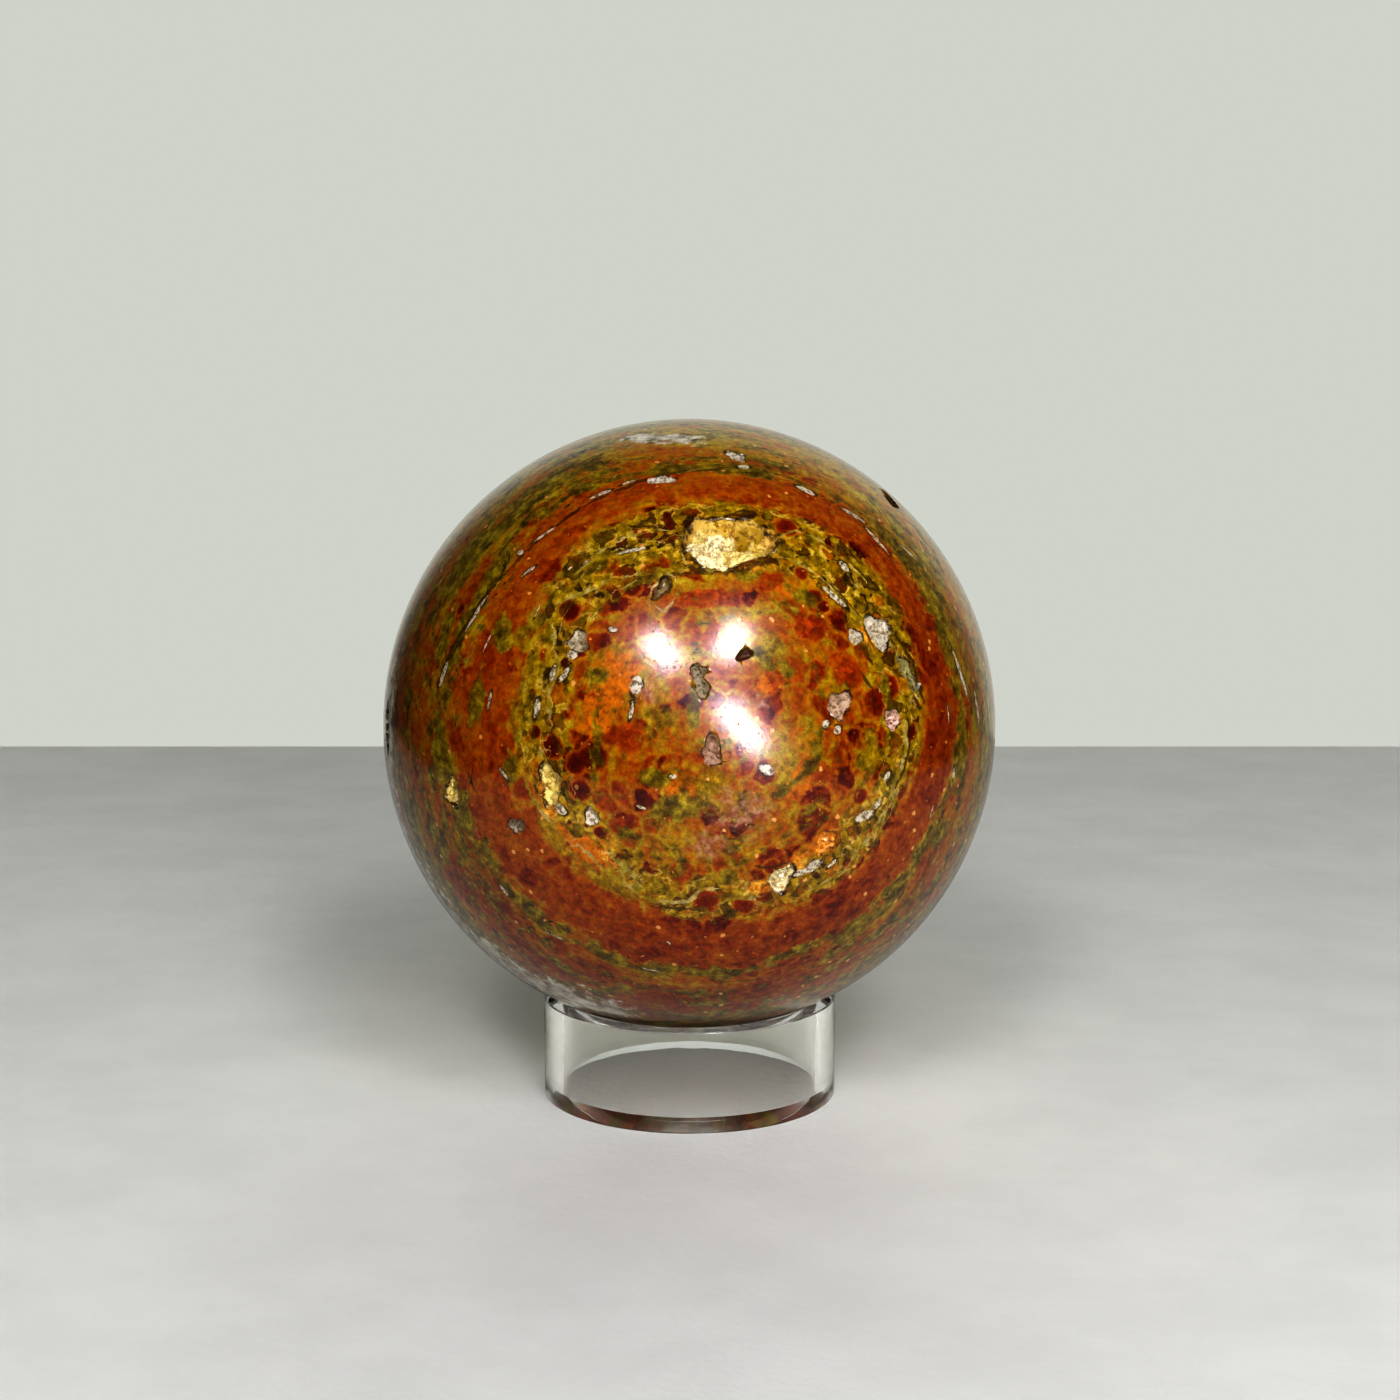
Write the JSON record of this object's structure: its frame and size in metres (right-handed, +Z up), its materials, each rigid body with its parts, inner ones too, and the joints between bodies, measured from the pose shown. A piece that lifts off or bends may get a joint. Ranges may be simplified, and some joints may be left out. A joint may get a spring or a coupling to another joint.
{
  "type": "sunset jasper sphere on a ring stand",
  "caption": "Polished orbicular jasper ball with bull's-eye banding and small open quartz pits, resting on a short clear open ring.",
  "frame": {"origin": "on the table, in the middle of the ring's foot, under the ball's lowest point", "axes": "+Z up, the middle of the bull's-eye banding faces -Y, +X to the viewer's right"},
  "size_m": [0.066, 0.066, 0.0739],
  "materials": {
    "polished_jasper": "polished",
    "clear_acrylic": "clear gloss"
  },
  "bodies": {
    "root": {"jasper_sphere": "polished_jasper", "ring_stand": "clear_acrylic"}
  },
  "joints": []
}
